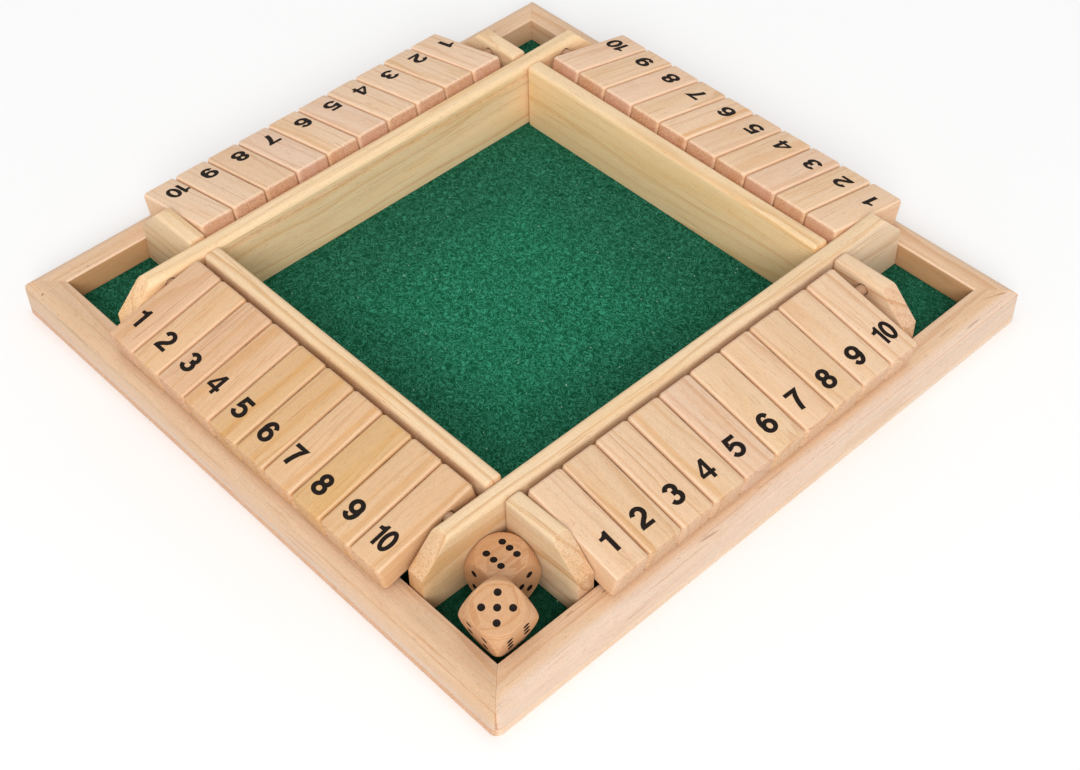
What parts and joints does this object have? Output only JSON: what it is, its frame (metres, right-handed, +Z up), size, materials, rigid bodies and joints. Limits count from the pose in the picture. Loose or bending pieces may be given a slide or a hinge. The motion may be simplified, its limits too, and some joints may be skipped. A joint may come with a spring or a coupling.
{
  "type": "shut the box game",
  "caption": "Square wooden dice game board with a felt tray in the middle, a row of hinged numbered tiles on each side, corner pockets and a pair of rounded dice.",
  "frame": {"origin": "middle of the underside, on the surface that the box stands on", "axes": "+Z up; front is -Y and right is +X, so the picture's lowest corner is the front left one (-X, -Y) and its right corner is the front right one"},
  "size_m": [0.22, 0.22, 0.0297],
  "materials": {
    "rail": "satin pale pine",
    "board": "satin golden pine",
    "base": "raw thin panel",
    "felt": "short dark green felt",
    "rod": "raw dowel",
    "tile": "sanded pale pine",
    "ink": "matt near-black print of the numbers and pips",
    "die": "sanded warm brown wood"
  },
  "bodies": {
    "box": {"base_panel": "base", "felt_lining": "felt", "rail_front": "rail", "rail_right": "rail", "rail_back": "rail", "rail_left": "rail", "divider_front": "board", "divider_back": "board", "tray_wall_right": "board", "tray_wall_left": "board", "bracket_front_left": "board", "bracket_front_right": "board", "bracket_back_left": "board", "bracket_back_right": "board", "rod_front": "rod", "rod_right": "rod", "rod_back": "rod", "rod_left": "rod"},
    "flap_front_01": {"tile_front_01": "tile"},
    "flap_front_02": {"tile_front_02": "tile"},
    "flap_front_03": {"tile_front_03": "tile"},
    "flap_front_04": {"tile_front_04": "tile"},
    "flap_front_05": {"tile_front_05": "tile"},
    "flap_front_06": {"tile_front_06": "tile"},
    "flap_front_07": {"tile_front_07": "tile"},
    "flap_front_08": {"tile_front_08": "tile"},
    "flap_front_09": {"tile_front_09": "tile"},
    "flap_front_10": {"tile_front_10": "tile"},
    "flap_right_01": {"tile_right_01": "tile"},
    "flap_right_02": {"tile_right_02": "tile"},
    "flap_right_03": {"tile_right_03": "tile"},
    "flap_right_04": {"tile_right_04": "tile"},
    "flap_right_05": {"tile_right_05": "tile"},
    "flap_right_06": {"tile_right_06": "tile"},
    "flap_right_07": {"tile_right_07": "tile"},
    "flap_right_08": {"tile_right_08": "tile"},
    "flap_right_09": {"tile_right_09": "tile"},
    "flap_right_10": {"tile_right_10": "tile"},
    "flap_back_01": {"tile_back_01": "tile"},
    "flap_back_02": {"tile_back_02": "tile"},
    "flap_back_03": {"tile_back_03": "tile"},
    "flap_back_04": {"tile_back_04": "tile"},
    "flap_back_05": {"tile_back_05": "tile"},
    "flap_back_06": {"tile_back_06": "tile"},
    "flap_back_07": {"tile_back_07": "tile"},
    "flap_back_08": {"tile_back_08": "tile"},
    "flap_back_09": {"tile_back_09": "tile"},
    "flap_back_10": {"tile_back_10": "tile"},
    "flap_left_01": {"tile_left_01": "tile"},
    "flap_left_02": {"tile_left_02": "tile"},
    "flap_left_03": {"tile_left_03": "tile"},
    "flap_left_04": {"tile_left_04": "tile"},
    "flap_left_05": {"tile_left_05": "tile"},
    "flap_left_06": {"tile_left_06": "tile"},
    "flap_left_07": {"tile_left_07": "tile"},
    "flap_left_08": {"tile_left_08": "tile"},
    "flap_left_09": {"tile_left_09": "tile"},
    "flap_left_10": {"tile_left_10": "tile"},
    "die_flat": {"die_1": "die"},
    "die_leaning": {"die_2": "die"}
  },
  "joints": [
    {"name": "flip_front_01", "type": "hinge", "parent": "box", "child": "flap_front_01", "pos_m": [-0.05795, -0.08263, 0.0245], "axis": [-1, 0, 0], "range_deg": [0, 148]},
    {"name": "flip_front_02", "type": "hinge", "parent": "box", "child": "flap_front_02", "pos_m": [-0.04545, -0.08263, 0.0245], "axis": [-1, 0, 0], "range_deg": [0, 160]},
    {"name": "flip_front_03", "type": "hinge", "parent": "box", "child": "flap_front_03", "pos_m": [-0.03295, -0.08263, 0.0245], "axis": [-1, 0, 0], "range_deg": [0, 160]},
    {"name": "flip_front_04", "type": "hinge", "parent": "box", "child": "flap_front_04", "pos_m": [-0.02045, -0.08263, 0.0245], "axis": [-1, 0, 0], "range_deg": [0, 160]},
    {"name": "flip_front_05", "type": "hinge", "parent": "box", "child": "flap_front_05", "pos_m": [-0.00795, -0.08263, 0.0245], "axis": [-1, 0, 0], "range_deg": [0, 160]},
    {"name": "flip_front_06", "type": "hinge", "parent": "box", "child": "flap_front_06", "pos_m": [0.00455, -0.08263, 0.0245], "axis": [-1, 0, 0], "range_deg": [0, 160]},
    {"name": "flip_front_07", "type": "hinge", "parent": "box", "child": "flap_front_07", "pos_m": [0.01705, -0.08263, 0.0245], "axis": [-1, 0, 0], "range_deg": [0, 160]},
    {"name": "flip_front_08", "type": "hinge", "parent": "box", "child": "flap_front_08", "pos_m": [0.02955, -0.08263, 0.0245], "axis": [-1, 0, 0], "range_deg": [0, 160]},
    {"name": "flip_front_09", "type": "hinge", "parent": "box", "child": "flap_front_09", "pos_m": [0.04205, -0.08263, 0.0245], "axis": [-1, 0, 0], "range_deg": [0, 160]},
    {"name": "flip_front_10", "type": "hinge", "parent": "box", "child": "flap_front_10", "pos_m": [0.05455, -0.08263, 0.0245], "axis": [-1, 0, 0], "range_deg": [0, 148]},
    {"name": "flip_right_01", "type": "hinge", "parent": "box", "child": "flap_right_01", "pos_m": [0.08263, -0.05795, 0.0245], "axis": [0, -1, 0], "range_deg": [0, 148]},
    {"name": "flip_right_02", "type": "hinge", "parent": "box", "child": "flap_right_02", "pos_m": [0.08263, -0.04545, 0.0245], "axis": [0, -1, 0], "range_deg": [0, 160]},
    {"name": "flip_right_03", "type": "hinge", "parent": "box", "child": "flap_right_03", "pos_m": [0.08263, -0.03295, 0.0245], "axis": [0, -1, 0], "range_deg": [0, 160]},
    {"name": "flip_right_04", "type": "hinge", "parent": "box", "child": "flap_right_04", "pos_m": [0.08263, -0.02045, 0.0245], "axis": [0, -1, 0], "range_deg": [0, 160]},
    {"name": "flip_right_05", "type": "hinge", "parent": "box", "child": "flap_right_05", "pos_m": [0.08263, -0.00795, 0.0245], "axis": [0, -1, 0], "range_deg": [0, 160]},
    {"name": "flip_right_06", "type": "hinge", "parent": "box", "child": "flap_right_06", "pos_m": [0.08263, 0.00455, 0.0245], "axis": [0, -1, 0], "range_deg": [0, 160]},
    {"name": "flip_right_07", "type": "hinge", "parent": "box", "child": "flap_right_07", "pos_m": [0.08263, 0.01705, 0.0245], "axis": [0, -1, 0], "range_deg": [0, 160]},
    {"name": "flip_right_08", "type": "hinge", "parent": "box", "child": "flap_right_08", "pos_m": [0.08263, 0.02955, 0.0245], "axis": [0, -1, 0], "range_deg": [0, 160]},
    {"name": "flip_right_09", "type": "hinge", "parent": "box", "child": "flap_right_09", "pos_m": [0.08263, 0.04205, 0.0245], "axis": [0, -1, 0], "range_deg": [0, 160]},
    {"name": "flip_right_10", "type": "hinge", "parent": "box", "child": "flap_right_10", "pos_m": [0.08263, 0.05455, 0.0245], "axis": [0, -1, 0], "range_deg": [0, 148]},
    {"name": "flip_back_01", "type": "hinge", "parent": "box", "child": "flap_back_01", "pos_m": [0.05465, 0.08263, 0.0245], "axis": [1, 0, 0], "range_deg": [0, 148]},
    {"name": "flip_back_02", "type": "hinge", "parent": "box", "child": "flap_back_02", "pos_m": [0.04215, 0.08263, 0.0245], "axis": [1, 0, 0], "range_deg": [0, 160]},
    {"name": "flip_back_03", "type": "hinge", "parent": "box", "child": "flap_back_03", "pos_m": [0.02965, 0.08263, 0.0245], "axis": [1, 0, 0], "range_deg": [0, 160]},
    {"name": "flip_back_04", "type": "hinge", "parent": "box", "child": "flap_back_04", "pos_m": [0.01715, 0.08263, 0.0245], "axis": [1, 0, 0], "range_deg": [0, 160]},
    {"name": "flip_back_05", "type": "hinge", "parent": "box", "child": "flap_back_05", "pos_m": [0.00465, 0.08263, 0.0245], "axis": [1, 0, 0], "range_deg": [0, 160]},
    {"name": "flip_back_06", "type": "hinge", "parent": "box", "child": "flap_back_06", "pos_m": [-0.00785, 0.08263, 0.0245], "axis": [1, 0, 0], "range_deg": [0, 160]},
    {"name": "flip_back_07", "type": "hinge", "parent": "box", "child": "flap_back_07", "pos_m": [-0.02035, 0.08263, 0.0245], "axis": [1, 0, 0], "range_deg": [0, 160]},
    {"name": "flip_back_08", "type": "hinge", "parent": "box", "child": "flap_back_08", "pos_m": [-0.03285, 0.08263, 0.0245], "axis": [1, 0, 0], "range_deg": [0, 160]},
    {"name": "flip_back_09", "type": "hinge", "parent": "box", "child": "flap_back_09", "pos_m": [-0.04535, 0.08263, 0.0245], "axis": [1, 0, 0], "range_deg": [0, 160]},
    {"name": "flip_back_10", "type": "hinge", "parent": "box", "child": "flap_back_10", "pos_m": [-0.05785, 0.08263, 0.0245], "axis": [1, 0, 0], "range_deg": [0, 148]},
    {"name": "flip_left_01", "type": "hinge", "parent": "box", "child": "flap_left_01", "pos_m": [-0.08263, 0.05635, 0.0245], "axis": [0, 1, 0], "range_deg": [0, 148]},
    {"name": "flip_left_02", "type": "hinge", "parent": "box", "child": "flap_left_02", "pos_m": [-0.08263, 0.04385, 0.0245], "axis": [0, 1, 0], "range_deg": [0, 160]},
    {"name": "flip_left_03", "type": "hinge", "parent": "box", "child": "flap_left_03", "pos_m": [-0.08263, 0.03135, 0.0245], "axis": [0, 1, 0], "range_deg": [0, 160]},
    {"name": "flip_left_04", "type": "hinge", "parent": "box", "child": "flap_left_04", "pos_m": [-0.08263, 0.01885, 0.0245], "axis": [0, 1, 0], "range_deg": [0, 160]},
    {"name": "flip_left_05", "type": "hinge", "parent": "box", "child": "flap_left_05", "pos_m": [-0.08263, 0.00635, 0.0245], "axis": [0, 1, 0], "range_deg": [0, 160]},
    {"name": "flip_left_06", "type": "hinge", "parent": "box", "child": "flap_left_06", "pos_m": [-0.08263, -0.00615, 0.0245], "axis": [0, 1, 0], "range_deg": [0, 160]},
    {"name": "flip_left_07", "type": "hinge", "parent": "box", "child": "flap_left_07", "pos_m": [-0.08263, -0.01865, 0.0245], "axis": [0, 1, 0], "range_deg": [0, 160]},
    {"name": "flip_left_08", "type": "hinge", "parent": "box", "child": "flap_left_08", "pos_m": [-0.08263, -0.03115, 0.0245], "axis": [0, 1, 0], "range_deg": [0, 160]},
    {"name": "flip_left_09", "type": "hinge", "parent": "box", "child": "flap_left_09", "pos_m": [-0.08263, -0.04365, 0.0245], "axis": [0, 1, 0], "range_deg": [0, 160]},
    {"name": "flip_left_10", "type": "hinge", "parent": "box", "child": "flap_left_10", "pos_m": [-0.08263, -0.05615, 0.0245], "axis": [0, 1, 0], "range_deg": [0, 148]},
    {"name": "lift_die_1", "type": "slide", "parent": "box", "child": "die_flat", "axis": [0, 0, 1], "range_m": [0, 0.03]},
    {"name": "lift_die_2", "type": "slide", "parent": "die_flat", "child": "die_leaning", "axis": [0, 0, 1], "range_m": [0, 0.03]}
  ]
}
